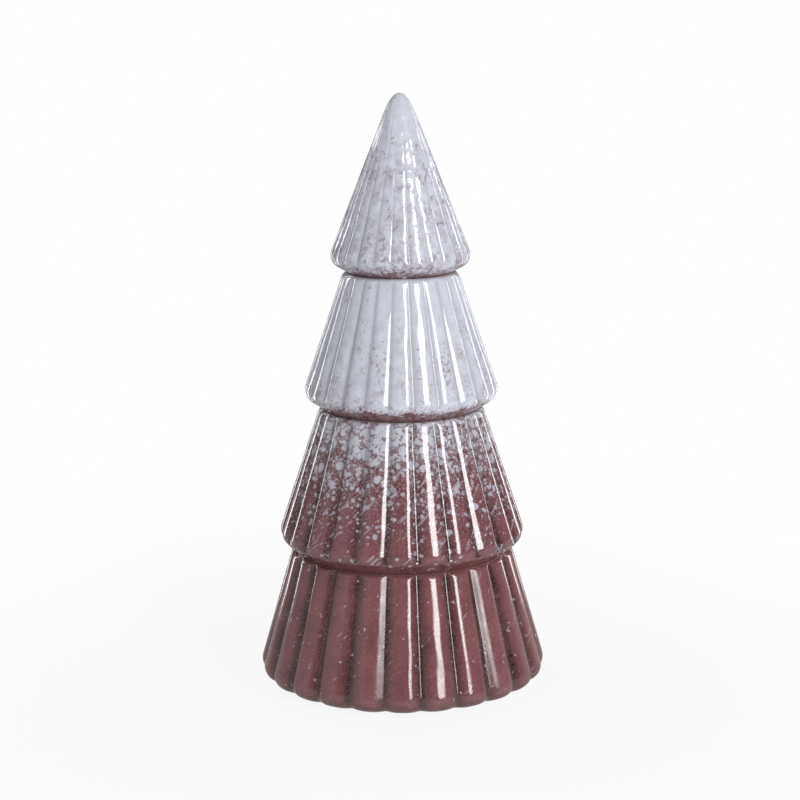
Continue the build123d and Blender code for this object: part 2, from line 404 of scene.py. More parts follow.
class SnowRun(ShaderGroup):
    """The glaze of all tiers: white over mauve, whole above and broken into drops below."""

    MARKS = ("Groove", "Rise", "Under", "Dry")
    SETTINGS = ("Top Cover", "Rim Cover", "Low", "High", "Pool", "Drops", "Specks", "Gloss", "Hem", "Broken",
                "Grain", "Hollow")

    # White: pebbles of three sizes, loose drops, slanting streaks and dust
    LAYERS = (
        PebbleLayer(scale=330.0, softness=0.08, ragged=0.8, opacity=1.0),
        PebbleLayer(scale=620.0, softness=0.10, ragged=0.7, opacity=0.9),
        PebbleLayer(scale=1300.0, softness=0.14, ragged=0.5, opacity=0.38, share=1.3),
    )
    DROPS = PebbleLayer(scale=480.0, softness=0.06, ragged=0.5, opacity=0.85)
    STREAKS = PebbleLayer(scale=700.0, softness=0.08, ragged=0.25, opacity=0.6)
    DUST_SCALE = 1900.0
    DUST_BY_COVER = 0.6
    DUST_OPACITY = 0.4
    POOL_POWER = 2.0
    THICK_COVER = (0.1, 0.8)

    # Patches all over, and the brushed hem on the underside
    PATCHES = Cloud(190.0, 3.0, 0.6)
    BRUSH_MARKS = Cloud(900.0, 2.0, 0.6)
    HEM_EDGE = 0.12
    HEM_NEAR = 0.5

    # Mauve: darker in the grooves, partly pooled glaze and partly painted shade, and in cloudy patches;
    # brown under the white, pale in its grain
    SHADES = Cloud(90.0, 4.0, 0.6)
    SHADE_SPAN = (0.6, 0.3)
    SHADE_SHARE = 0.3
    POOL_AND_SHADE_POWER = 1.2
    POOL_AND_SHADE_GAIN = 1.5
    BROWN_COVER = (0.05, 0.6)
    BROWN_SHARE = 0.75
    PALE_POWER = 2.0
    PALE_SHARE = 0.3

    # Snow: tints and specks, less of both up the tier and off the crests, and more specks at rim and hem
    TINTS = Cloud(420.0, 2.0, 0.55)
    TINT_PATCHES = 0.7
    TINT_SPAN = (0.3, 0.75)
    TINT_GAIN = 2.0
    TINT_ON_CREST = (0.9, 0.1)
    SPECKS_ON_CREST = (0.7, 0.3)
    AGED = (0.4, 0.95, 1.0, 0.35)
    # Power of the grey painted shade in the white's grooves
    GROOVE_SHADE_POWER = 1.4
    RIM_SPECKS = (0.2, 0.0, 0.0, 0.2)
    HEM_SPECKS = 0.6
    SOFT_SPECKS = (620.0, 0.58)
    SHARP_SPECKS = (1400.0, 0.36)

    # Surface: grain, swell, roughness by grain and by white, and the dull patches of the dry ribs
    GRAIN_SCALE = 2100.0
    SWELL = Cloud(210.0, 1.0)
    GRAIN_ROUGHNESS = 0.05
    WHITE_ROUGHNESS = -0.04
    DRY_PATCHES = (0.3, 0.6, 0.02, 0.16)

    def __init__(self, colours: GlazeColours) -> None:
        """Build the shared groups once.

        Args:
            colours: the colours of the glazes.
        """
        inputs = ("Vector", "Drift", *self.MARKS, *self.SETTINGS)
        super().__init__("snow_run", inputs, ("Color", "Roughness", "Height"))
        self.colours = colours
        self.grain = grain_group()
        self.pebbles = pebble_group()
        self.specks = speck_group()
        self.lay()

    def lay(self) -> None:
        """Lay the run of the glaze, which puts out colour, roughness and height.

        The cover goes evenly from its rim value to its top value as the height passes from Low to High,
        with more in the grooves. White pebbles of three sizes and slanting streaks lie on the mauve by
        that cover, mauve specks show through the white, and a brushed brown hem ends it on the underside.
        """
        bench, entry = self.bench, self.entry
        patch = bench.cloud(entry["Vector"], self.PATCHES)
        unsteady = bench.minus(patch, NOISE_MIDDLE)
        span = [entry[name] for name in ("Low", "High", "Rim Cover", "Top Cover")]
        whole = bench.ramp(entry["Rise"], *span, Course.EVEN)
        pooled = bench.times(bench.power(entry["Groove"], self.POOL_POWER), entry["Pool"])
        pooled = bench.times(pooled, whole)
        cover = bench.times_plus(unsteady, entry["Broken"], bench.plus(whole, pooled))

        dashes = bench.vectors("MULTIPLY", entry["Drift"], (1.0, 1.0, DASH_PRESS))
        brushed = bench.minus(bench.cloud(dashes, self.BRUSH_MARKS), NOISE_MIDDLE)
        feather = bench.plus(bench.plus(brushed, unsteady), entry["Under"])
        gone = bench.ramp(feather, entry["Hem"], bench.plus(entry["Hem"], self.HEM_EDGE))
        near = bench.ramp(feather, bench.minus(entry["Hem"], self.HEM_NEAR), entry["Hem"])

        mask = bench.times(self.white_mask(cover), bench.minus(1.0, gone))
        grain = bench.group(self.grain, {"Vector": dashes, "Scale": self.GRAIN_SCALE}).outputs
        browned = bench.larger(bench.ramp(cover, *self.BROWN_COVER), gone)
        snow = self.snow_coat(unsteady, near)
        drop_white = bench.blend(bench.ramp(cover, *self.THICK_COVER), self.colours.thin_white, snow)
        finished = bench.blend(mask, self.mauve_body(browned, grain["Tone"]), drop_white)

        dry = bench.times(entry["Dry"], bench.ramp(patch, *self.DRY_PATCHES))
        matt = bench.times_plus(grain["Tone"], self.GRAIN_ROUGHNESS, bench.plus(entry["Gloss"], dry))
        roughness = bench.times_plus(mask, self.WHITE_ROUGHNESS, matt)
        swell = bench.cloud(entry["Vector"], self.SWELL)
        relief = bench.times_plus(grain["Height"], entry["Grain"], swell)
        self.give(Color=finished, Roughness=roughness, Height=relief)

    def speckled(self, scale: float, amount: Socket) -> Socket:
        """Specks of one size, by their amount."""
        feeds = {"Vector": self.entry["Vector"], "Scale": scale, "Amount": amount}
        return self.bench.group(self.specks, feeds).outputs["Mask"]

    def white_mask(self, cover: Socket) -> Socket:
        """White pebbles of three sizes, loose drops, slanting streaks and dust, laid over each other.

        Args:
            cover: how much white lies at a place.

        Returns:
            The mask of all white.
        """
        bench, entry = self.bench, self.entry
        place, loose = entry["Vector"], entry["Drops"]
        drawn_out = bench.vectors("MULTIPLY", entry["Drift"], (1.0, 1.0, STREAK_PRESS))
        laid = [(layer, place, cover) for layer in self.LAYERS]
        laid += [(self.DROPS, place, loose), (self.STREAKS, drawn_out, loose)]
        dust = self.speckled(self.DUST_SCALE, bench.times_plus(cover, self.DUST_BY_COVER, loose))
        mask = bench.times(dust, self.DUST_OPACITY)
        for layer, vector, amount in laid:
            feeds = {
                "Vector": vector, "Scale": layer.scale, "Cover": bench.times(amount, layer.share),
                "Softness": layer.softness, "Ragged": layer.ragged,
            }
            pebbles = bench.group(self.pebbles, feeds).outputs["Mask"]
            mask = bench.larger(mask, bench.times(pebbles, layer.opacity))
        return mask

    def mauve_body(self, browned: Socket, tone: Socket) -> Socket:
        """Mauve under the white: darker in the grooves, partly as pooled glaze and partly as painted shade,
        brown where it shows between pebbles.

        Args:
            browned: how much of it is brown.
            tone: fine grain about one half.

        Returns:
            The colour.
        """
        bench, colours = self.bench, self.colours
        shade = bench.ramp(bench.cloud(self.entry["Vector"], self.SHADES), *self.SHADE_SPAN)
        # The grooves darken, partly as pooled glaze and partly as painted shade; cloudy patches add to it
        deep = bench.times(bench.power(self.entry["Groove"], self.POOL_AND_SHADE_POWER), self.POOL_AND_SHADE_GAIN)
        deep = bench.times_plus(shade, self.SHADE_SHARE, deep)
        body = bench.blend(deep, colours.mauve, colours.mauve_pool_and_shade)
        body = bench.blend(bench.times(browned, self.BROWN_SHARE), body, colours.brown)
        pale = bench.times(bench.power(tone, self.PALE_POWER), self.PALE_SHARE)
        return bench.blend(pale, body, colours.mauve_pale)

    def snow_coat(self, unsteady: Socket, near: Socket) -> Socket:
        """White coat: grey painted shade deep in the grooves, tinted lavender on the crests, with clusters
        of specks.

        Args:
            unsteady: slow noise about zero.
            near: goes from 0 to 1 towards the hem on the underside.

        Returns:
            The colour.
        """
        bench, entry, colours = self.bench, self.entry, self.colours
        crest = bench.minus(1.0, entry["Groove"])
        aged = bench.ramp(entry["Rise"], *self.AGED)
        cloud = bench.times_plus(unsteady, self.TINT_PATCHES, bench.cloud(entry["Vector"], self.TINTS))
        on_crest = bench.times_plus(crest, *self.TINT_ON_CREST)
        tinted = bench.times(bench.ramp(cloud, *self.TINT_SPAN), on_crest)
        tinted = bench.times(tinted, bench.times(entry["Specks"], self.TINT_GAIN))
        snow = bench.blend(bench.times(tinted, aged), colours.white, colours.lavender)
        # Painted shade: the white goes grey in the grooves, by the tier's hollow strength
        shaded = bench.times(bench.power(entry["Groove"], self.GROOVE_SHADE_POWER), entry["Hollow"])
        snow = bench.blend(shaded, snow, colours.painted_groove_shade)
        amount = bench.times(entry["Specks"], bench.times_plus(crest, *self.SPECKS_ON_CREST))
        amount = bench.plus(bench.times(amount, aged), bench.ramp(entry["Rise"], *self.RIM_SPECKS))
        amount = bench.times_plus(near, self.HEM_SPECKS, amount)
        sizes = ((self.SOFT_SPECKS, colours.speck), (self.SHARP_SPECKS, colours.mauve))
        for (scale, share), colour in sizes:
            snow = bench.blend(bench.times(self.speckled(scale, amount), share), snow, colour)
        return snow


@dataclass(frozen=True)
class Glaze:
    """How the run of glaze lies on one kind of tier."""

    name: str
    top_cover: float
    rim_cover: float
    low: float
    high: float
    pool: float
    drops: float
    specks: float
    gloss: float
    hem: float
    broken: float
    grain: float
    bump_height: float
    # Strength of the grey painted shade in the grooves
    hollow: float = 0.46
    bump_strength: float = 0.5
    ior: float = 1.85
    bare_roughness: float = 0.8

    def material(self, run: SnowRun) -> Material:
        """Make the glaze's material: the run of glaze, and bare clay where no glaze reached.

        Args:
            run: the shared glaze.

        Returns:
            The new material.
        """
        made = bpy.data.materials.new(self.name)
        bench = NodeBench.of(made)
        feeds = {"Vector": bench.place(), "Drift": bench.attribute("drift").outputs["Vector"]}
        feeds |= {mark: bench.attribute(mark.lower()).outputs["Fac"] for mark in run.MARKS}
        feeds |= {name: getattr(self, name.lower().replace(" ", "_")) for name in run.SETTINGS}
        glaze = bench.group(run.tree, feeds).outputs
        bare = bench.attribute("bare").outputs["Fac"]
        bench.surface({
            "Base Color": bench.blend(bare, glaze["Color"], run.colours.biscuit),
            "Roughness": bench.larger(glaze["Roughness"], bench.times(bare, self.bare_roughness)),
            "Normal": bench.bumped(glaze["Height"], self.bump_strength, self.bump_height),
            "IOR": self.ior,
        })
        return made


@dataclass(frozen=True)
class PlainFinish:
    """A matt finish with grain: bare clay, rubber."""

    name: str
    dark: Colour
    pale: Colour
    grain_scale: float
    roughness: float
    bump_height: float
    bump_strength: float = 0.6
    grain_share: float = 0.4
    grain_roughness: float = 0.12
    smudges: Cloud = Cloud(60.0, 4.0, 0.6)
    smudge_ramp: tuple[float, ...] = (0.3, 0.75, 0.0, 0.6)

    def material(self, run: SnowRun) -> Material:
        """Make the material from the shared grain.

        Args:
            run: the shared glaze, which holds the grain.

        Returns:
            The new material.
        """
        made = bpy.data.materials.new(self.name)
        bench = NodeBench.of(made)
        place = bench.place()
        grain = bench.group(run.grain, {"Vector": place, "Scale": self.grain_scale}).outputs
        smudge = bench.ramp(bench.cloud(place, self.smudges), *self.smudge_ramp)
        share = bench.times_plus(grain["Tone"], self.grain_share, smudge)
        bench.surface({
            "Base Color": bench.blend(share, self.dark, self.pale),
            "Roughness": bench.times_plus(grain["Tone"], self.grain_roughness, self.roughness),
            "Normal": bench.bumped(grain["Height"], self.bump_strength, self.bump_height),
        })
        return made


def straight(start: Point, end: Point, count: int) -> Grid:
    """Rows of (radius, height) at even steps from start towards end, without the end itself."""
    share = np.linspace(0, 1, count, endpoint=False)[:, None]
    return (1 - share) * np.array(start) + share * np.array(end)


def rounded(centre: Point, radius: float, first: float, last: float, count: int) -> Grid:
    """Rows of (radius, height) at even angles of an arc, in radians above level, without the last."""
    angle = np.linspace(first, last, count, endpoint=False)
    return np.array(centre) + radius * np.stack([np.cos(angle), np.sin(angle)], axis=1)


def bare_walls(*corners: Point) -> list[Stretch]:
    """Straight walls without glaze, from corner to sharp corner, without the last."""
    return [(straight(a, b, WALL_POINTS), False, True) for a, b in zip(corners, corners[1:])]


def smaller(first: Grid, second: Grid, softness: float) -> Grid:
    """Smooth minimum: the lesser of two arrays, less a quadratic dip where they are about equal."""
    share = np.clip(0.5 + 0.5 * (second - first) / softness, 0, 1)
    return second + (first - second) * share - softness * share * (1 - share)


def tangent_angle(point: Point, centre: Point, radius: float, side: int) -> float:
    """Angle above level, from a circle's centre, where a line from the point touches it, side 1 or -1."""
    across, along = point[0] - centre[0], point[1] - centre[1]
    return atan2(along, across) + side * acos(radius / hypot(across, along))


@dataclass
class Outline:
    """Half section of a tier: rows of (radius, height), where glaze is, and which corners stay sharp.

    The poles are heights on the axis that close the first and the last ring, or None for a closed loop.
    """

    points: Grid
    glazed: Grid
    sharp: Grid
    poles: Point | None

    @classmethod
    def joined(cls, stretches: list[Stretch], poles: Point | None = None) -> "Outline":
        """Join stretches end to end.

        Args:
            stretches: the stretches, in order.
            poles: the poles, if any.

        Returns:
            The outline.
        """
        points = np.concatenate([rows for rows, _, _ in stretches])
        glazed = np.concatenate([np.full(len(rows), skin) for rows, skin, _ in stretches])
        starts = [np.arange(len(rows)) == (0 if corner else -1) for rows, _, corner in stretches]
        return cls(points, glazed, np.concatenate(starts), poles)


@dataclass
class FlutedTier:
    """One hollow tier with ribs, between its seat and the seat of the tier above, if there is one."""

    node: str
    slot: str
    above: str
    neck_radius: float
    top_radius: float
    rim_rise: float
    rim_round: float
    rib_depth: float
    top_rib_depth: float
    flank_rows: int = 84
    rim_rows: int = 16
    under_rows: int = 9
    shoulder_rows: int = 12
    hem_reach: float = 1.0
    pool_share: float = 0.16
    dry_ribs: tuple[int, ...] = ()
    seat: float = field(init=False)
    top: float = field(init=False)
    rim_radius: float = field(init=False)

    def __post_init__(self) -> None:
        """Take the seat, the seat above and the largest radius from the frame, whose crests are relieved."""
        low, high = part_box(self.node)
        self.seat = low.z
        self.rim_radius = high.x + CREST_RELIEF
        self.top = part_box(self.above)[0].z if self.above else high.z

    @property
    def rim_centre(self) -> Point:
        """Middle of the rim's rounding."""
        return (self.rim_radius - self.rim_round, self.seat + self.rim_rise)

    @property
    def flank_angle(self) -> float:
        """Angle above level of the line that stands square on the flank."""
        return tangent_angle((self.top_radius, self.top), self.rim_centre, self.rim_round, -1)

    @property
    def under_angle(self) -> float:
        """Angle above level of the line that stands square on the underside."""
        return tangent_angle((self.neck_radius, self.seat), self.rim_centre, self.rim_round, 1)

    @property
    def flank_foot(self) -> Point:
        """Where the flank leaves the rim's rounding."""
        (across, up), angle = self.rim_centre, self.flank_angle
        return (across + self.rim_round * cos(angle), up + self.rim_round * sin(angle))

    def flank(self, height: Grid | float) -> Grid | float:
        """Radius of the straight flank at a height."""
        return self.top_radius + (self.top - height) * tan(self.flank_angle)

    def inner_flank(self, height: float) -> float:
        """Radius of the hollow behind the ribs at a height."""
        return self.flank(height) - self.rib_depth - WALL

    def lower_stretches(self) -> list[Stretch]:
        """The underside and the rim.

        Returns:
            The underside, from the neck out, and the rim's rounding.
        """
        rim = rounded(self.rim_centre, self.rim_round, self.under_angle, self.flank_angle, self.rim_rows)
        under = straight((self.neck_radius, self.seat), tuple(rim[0]), self.under_rows)
        return [(under, True, True), (rim, True, False)]

    def shoulder_stretches(self) -> list[Stretch]:
        """The flank and the shoulder.

        Returns:
            The flank, and the rounded shoulder that ends at the neck of the tier above.
        """
        flank_angle = self.flank_angle
        round_radius = NECK_STEP * tan(pi / 4 + flank_angle / 2)
        centre = (self.top_radius - NECK_STEP, self.top - round_radius)
        arc = rounded(centre, round_radius, flank_angle, pi / 2, self.shoulder_rows)
        flank = straight(self.flank_foot, tuple(arc[0]), self.flank_rows)
        return [(flank, True, False), (arc, True, False)]

    def collar_stretches(self) -> list[Stretch]:
        """The seat and the collar.

        Returns:
            The seat ring on top, the collar on it and its bore, down to the roof of the hollow.
        """
        neck = self.top_radius - NECK_STEP
        collar = neck - SEAT_WIDTH - FIT_CLEARANCE
        bore = collar - COLLAR_WALL
        roof = self.top - WALL
        rise = self.top + COLLAR_HEIGHT
        last = (self.inner_flank(roof), roof)
        walls = bare_walls((neck, self.top), (collar, self.top), (collar, rise), (bore, rise),
                           (bore, roof), last)
        return walls + [(np.array([last]), False, True)]

    def opening_stretches(self) -> list[Stretch]:
        """The foot of the hollow.

        Returns:
            Its lowest ring, and the opening that takes the collar below.
        """
        opening = self.neck_radius - SEAT_WIDTH
        lip = self.seat + COLLAR_HEIGHT + COLLAR_HEADROOM
        rim = self.rim_centre
        slope = (rim[1] - self.seat) / (rim[0] + self.rim_round - self.neck_radius)
        side_height = lip + (self.inner_flank(rim[1]) - opening) * slope
        return bare_walls((self.inner_flank(side_height), side_height), (opening, lip), (opening, self.seat),
                          (self.neck_radius, self.seat))

    def outline(self) -> Outline:
        """The whole half section, from the neck round the outside and back through the hollow."""
        outside = self.lower_stretches() + self.shoulder_stretches()
        return Outline.joined(outside + self.collar_stretches() + self.opening_stretches())

    def rim_shares(self) -> tuple[float, tuple[float, ...]]:
        """Angle round the rim where the grooves end, and their shares of depth from the flank to there."""
        return GROOVE_END_ANGLE, RUN_OUT_SHARES

    def rib_lines(self) -> tuple[Grid, Grid, Grid]:
        """How deep the ribs are from the rim up.

        Returns:
            Heights, with the valley's distance under the outline and the rib's depth at each.
        """
        end_angle, shares = self.rim_shares()
        angles = np.linspace(self.flank_angle, end_angle, len(shares))[::-1]
        heights = np.append(self.rim_centre[1] + self.rim_round * np.sin(angles), self.top)
        depths = np.append(self.rib_depth * np.array(shares[::-1]), self.top_rib_depth)
        return heights, depths + CREST_RELIEF, depths

    def fluted(self, outline: Outline, across: Grid) -> Grid:
        """Radius of every point: the outline, cut by the ribs where it is glazed.

        In a level section each rib is an arc of a circle through its crest and the valleys beside it, with
        the valleys rounded by glaze. The ribs follow the rim's rounding and, above it, the straight flank.
        The surface is the smooth minimum of the outline and that section.

        Args:
            outline: the half section.
            across: place across the rib of each column, from -1 to 1.

        Returns:
            The radii, with a row for each point of the outline and a column for each angle.
        """
        turn = (1 - np.sqrt((1 - np.abs(across)) ** 2 + self.pool_share**2)) * RIB_PITCH / 2
        radius, height = outline.points[:, :1], outline.points[:, 1:]
        heights, sinks, depths = self.rib_lines()
        line = np.where(height < self.flank_foot[1], radius, self.flank(height))
        valley = line - np.interp(height, heights, sinks)
        crest = valley + np.interp(height, heights, depths)
        sink = crest - valley * cos(RIB_PITCH / 2)
        bow = (sink**2 + (valley * sin(RIB_PITCH / 2)) ** 2) / (2 * sink)
        middle = crest - bow
        ribs = middle * np.cos(turn) + np.sqrt(bow**2 - (middle * np.sin(turn)) ** 2)
        cut = smaller(radius + 0 * ribs, ribs + SHOULDER_SOFTNESS / 4, SHOULDER_SOFTNESS)
        return np.where(outline.glazed[:, None], np.minimum(cut, radius), radius)

    def marks(self, outline: Outline, radius: Grid, rings: Grid) -> dict[str, Grid]:
        """What the glaze needs to know of every point.

        Groove is the depth under the outline over the rib's depth at that height. Rise goes from 0 at the
        rim to 1 at the top, and under from 0 at the rim to 1 over the hem's reach at the neck. Bare is 1
        where no glaze is, and dry is 1 on the ribs that came out matt. Drift is the place, turned round Z in
        step with the height.

        Args:
            outline: the half section.
            radius: each point's radius, by row and column.
            rings: the points, by row and column.

        Returns:
            Each attribute's values by its name.
        """
        x, y, height = np.moveaxis(rings, 2, 0)
        rim = self.rim_centre[1]
        heights, _, depths = self.rib_lines()
        depth = np.maximum(np.interp(height, heights, depths), LEAST_DEPTH * self.rib_depth)
        shares = {
            "groove": (outline.points[:, :1] - radius) / depth,
            "rise": (height - rim) / (self.top - rim),
            "under": (rim - height) / (rim - self.seat) / self.hem_reach,
            "bare": np.repeat(1.0 - outline.glazed[:, None], rings.shape[1], axis=1),
        }
        rib = np.round((np.arctan2(y, x) - FRONT_ANGLE) / RIB_PITCH) % RIB_COUNT
        turn = SLANT_TWIST * height
        turned = [x * np.cos(turn) - y * np.sin(turn), x * np.sin(turn) + y * np.cos(turn), height]
        marks = {name: np.clip(share, 0, 1) for name, share in shares.items()}
        return {**marks, "dry": np.isin(rib, self.dry_ribs), "drift": np.stack(turned, axis=2)}

    def build(self, material: Material) -> bpy.types.Object:
        """Make the tier's mesh, dress it and let it stand for its CAD node.

        Args:
            material: the tier's glaze.

        Returns:
            The new piece.
        """
        outline = self.outline()
        place = np.linspace(-1, 1, SAMPLES_PER_RIB, endpoint=False)
        across = np.tile(np.sin(pi / 2 * place), RIB_COUNT)
        rib = np.repeat(np.arange(RIB_COUNT), SAMPLES_PER_RIB)
        angle = FRONT_ANGLE + (rib + across / 2) * RIB_PITCH
        radius = self.fluted(outline, across)
        height = np.repeat(outline.points[:, 1:], len(angle), axis=1)
        radius = radius + np.where(outline.glazed[:, None], ripple(angle[None, :], height), 0)
        rings = np.stack([radius * np.cos(angle), radius * np.sin(angle), height], axis=2)
        marks = self.marks(outline, radius, rings)
        piece = ring_mesh(self.node + "_glazed", rings, outline, marks)
        piece.data.materials.append(material)
        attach(piece, BODY)
        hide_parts(self.node)
        return piece


class BaseTier(FlutedTier):
    """The bottom tier: its grooves run on to the foot, and a rebate takes the foot plate."""

    FOOT_RING_WIDTH = 0.007
    PLATE_THICKNESS = 0.005
    LEDGE_WIDTH = 0.003
    LEDGE_HEIGHT = 0.003
    LEDGE_SLOPE_HEIGHT = 0.005

    def opening_stretches(self) -> list[Stretch]:
        """The foot of the hollow.

        Returns:
            The slope over the ledge, the ledge and the rebate of the plate.
        """
        recess = self.neck_radius - self.FOOT_RING_WIDTH
        ledge = recess - self.LEDGE_WIDTH
        plate_top = self.seat + self.PLATE_THICKNESS
        ledge_top = plate_top + self.LEDGE_HEIGHT
        side_height = ledge_top + self.LEDGE_SLOPE_HEIGHT
        return bare_walls((self.inner_flank(side_height), side_height), (ledge, ledge_top),
                          (ledge, plate_top), (recess, plate_top), (recess, self.seat),
                          (self.neck_radius, self.seat))

    def rim_shares(self) -> tuple[float, tuple[float, ...]]:
        """The grooves go all the way round to the foot and stay deep."""
        return self.under_angle, FOOT_SHARES


@dataclass
class ApexTier(FlutedTier):
    """The top tier: its flank bends over into a tip, and its hollow is closed.

    The top radius is where the straight flank would meet the tip's height.
    """

    hem_reach: float = 1.6
    hollow_tip_radius: float = 0.003
    tip_rows: int = 22

    def outline(self) -> Outline:
        """From the roof of the hollow down to the neck, then round the outside up to the tip.

        The tip is a parabola that leaves the flank at twice the top radius and is level on the axis.

        Returns:
            The whole half section.
        """
        flank_angle = self.flank_angle
        roof_radius = self.hollow_tip_radius + self.rib_depth + WALL
        roof = self.top - (roof_radius - self.top_radius) / tan(flank_angle)
        share = np.linspace(1, 0, self.tip_rows, endpoint=False)
        drop = self.top_radius / tan(flank_angle)
        tip = np.stack([2 * self.top_radius * share, self.top - drop * share**2], axis=1)
        flank = straight(self.flank_foot, tuple(tip[0]), self.flank_rows)
        hollow = [(np.array([(self.hollow_tip_radius, roof)]), False, True)] + self.opening_stretches()
        outside = self.lower_stretches() + [(flank, True, False), (tip, True, False)]
        return Outline.joined(hollow + outside, poles=(roof, self.top))

    def rib_lines(self) -> tuple[Grid, Grid, Grid]:
        """As on the other tiers, but the grooves also come to the surface below the tip.

        Returns:
            Heights, with the valley's distance under the outline and the rib's depth at each.
        """
        heights, sinks, depths = super().rib_lines()
        fade = self.top - GROOVE_FADE_BELOW_TIP
        sinks[-1] = -self.rib_depth * GROOVE_FADE_BELOW_TIP / (fade - heights[-2])
        return heights, sinks, depths


def ripple(angle: Grid, height: Grid) -> Grid:
    """Slight unevenness of a dipped surface: a sum of slow sine waves round and up the tree.

    Args:
        angle: angle of each column, in radians.
        height: height of each point.

    Returns:
        How far each point stands off its true radius.
    """
    draw = np.random.default_rng(RIPPLE_SEED)
    total = np.zeros(np.broadcast_shapes(angle.shape, height.shape))
    for _ in range(RIPPLE_WAVES):
        turns = draw.integers(*RIPPLE_TURNS)
        climb = draw.uniform(*RIPPLE_CLIMB)
        phase = draw.uniform(0, 2 * pi)
        total = total + np.sin(turns * angle + climb * height + phase)
    return RIPPLE_HEIGHT * total / RIPPLE_WAVES


def ring_mesh(name: str, rings: Grid, outline: Outline, values: dict[str, Grid]) -> bpy.types.Object:
    """Make a closed mesh from rings of points.

    Neighbouring points of neighbouring rings make a quad. Without poles the last ring joins the first, and
    with them a fan of triangles closes each end.

    Args:
        name: the piece's name.
        rings: points by row and column.
        outline: the half section, for its sharp corners and poles.
        values: attributes of the points, by name.

    Returns:
        The new object, at the origin.
    """
    rows, columns, _ = rings.shape
    index = np.arange(rows * columns).reshape(rows, columns)
    following = np.roll(index, -1, axis=1)
    quads = np.stack([index, following, np.roll(following, -1, axis=0), np.roll(index, -1, axis=0)], axis=-1)
    points = rings.reshape(-1, 3)
    if outline.poles is None:
        faces = quads.reshape(-1, 4).tolist()
    else:
        ends = np.array([[0, 0, height] for height in outline.poles])
        first, last = len(points), len(points) + 1
        points = np.concatenate([points, ends])
        faces = quads[:-1].reshape(-1, 4).tolist()
        faces += np.stack([np.full(columns, first), following[0], index[0]], axis=1).tolist()
        faces += np.stack([index[-1], following[-1], np.full(columns, last)], axis=1).tolist()
    mesh = bpy.data.meshes.new(name)
    mesh.from_pydata(points.tolist(), [], faces)
    mesh.polygons.foreach_set("use_smooth", np.ones(len(mesh.polygons), bool))
    add_attributes(mesh, values)
    mark_sharp_rings(mesh, outline, columns)
    mesh.validate()
    mesh.update()
    return new_object(name, mesh)


def add_attributes(mesh: bpy.types.Mesh, values: dict[str, Grid]) -> None:
    """Put values and vectors on the mesh's points, with the last row's on the poles.

    Args:
        mesh: the mesh.
        values: values or vectors of each ring's points, by attribute name.
    """
    count = len(mesh.vertices)
    for name, rows in values.items():
        is_vector = rows.ndim == 3
        flat = rows.reshape(-1, 3) if is_vector else rows.reshape(-1, 1)
        missing = count - len(flat)
        flat = np.concatenate([flat, np.repeat(flat[-1:], missing, axis=0)])
        layer = mesh.attributes.new(name, "FLOAT_VECTOR" if is_vector else "FLOAT", "POINT")
        layer.data.foreach_set("vector" if is_vector else "value", flat.astype(np.float32).ravel())


def mark_sharp_rings(mesh: bpy.types.Mesh, outline: Outline, columns: int) -> None:
    """Keep the edges that run round the tier at the outline's sharp corners sharp.

    Args:
        mesh: the mesh.
        outline: the half section, with its sharp corners.
        columns: points in a ring.
    """
    ends = np.empty(2 * len(mesh.edges), np.int32)
    mesh.edges.foreach_get("vertices", ends)
    row = ends.reshape(-1, 2) // columns
    corner = np.append(outline.sharp, [False, False])
    sharp = (row[:, 0] == row[:, 1]) & corner[np.minimum(row[:, 0], len(outline.sharp))]
    layer = mesh.attributes.new("sharp_edge", "BOOLEAN", "EDGE")
    layer.data.foreach_set("value", sharp)


@dataclass
class FootSet:
    """The foot plate and the bumper feet, which keep their CAD shapes."""

    plate: str = "foot_plate"
    bumper: str = "bumper_foot"

    def dress(self, clay: Material, rubber: Material) -> list[str]:
        """Give the plate and the bumpers their finish.

        Args:
            clay: finish of the plate.
            rubber: finish of the bumpers.

        Returns:
            The names of the nodes that were dressed.
        """
        names = [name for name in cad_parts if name.startswith((self.plate, self.bumper))]
        for name in names:
            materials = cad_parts[name].data.materials
            materials.clear()
            materials.append(clay if name == self.plate else rubber)
        return names


@dataclass
class SoftBox:
    """A rectangular lamp that faces the tree, its azimuth counted from the front to the right."""

    name: str
    azimuth: float
    elevation: float
    distance: float
    width: float
    height: float
    radiance: float
    aim_height: float = 0.1

    def place(self) -> None:
        """Add the lamp."""
        lamp = bpy.data.lights.new(self.name, "AREA")
        lamp.shape = "RECTANGLE"
        lamp.size = self.width
        lamp.size_y = self.height
        lamp.energy = self.radiance * pi * self.width * self.height
        level = self.distance * cos(self.elevation)
        rise = self.aim_height + self.distance * sin(self.elevation)
        spot = Vector((level * sin(self.azimuth), -level * cos(self.azimuth), rise))
        aim = Vector((0, 0, self.aim_height)) - spot
        turn = aim.to_track_quat("-Z", "Y").to_matrix().to_4x4()
        new_object(self.name, lamp).matrix_world = Matrix.Translation(spot) @ turn


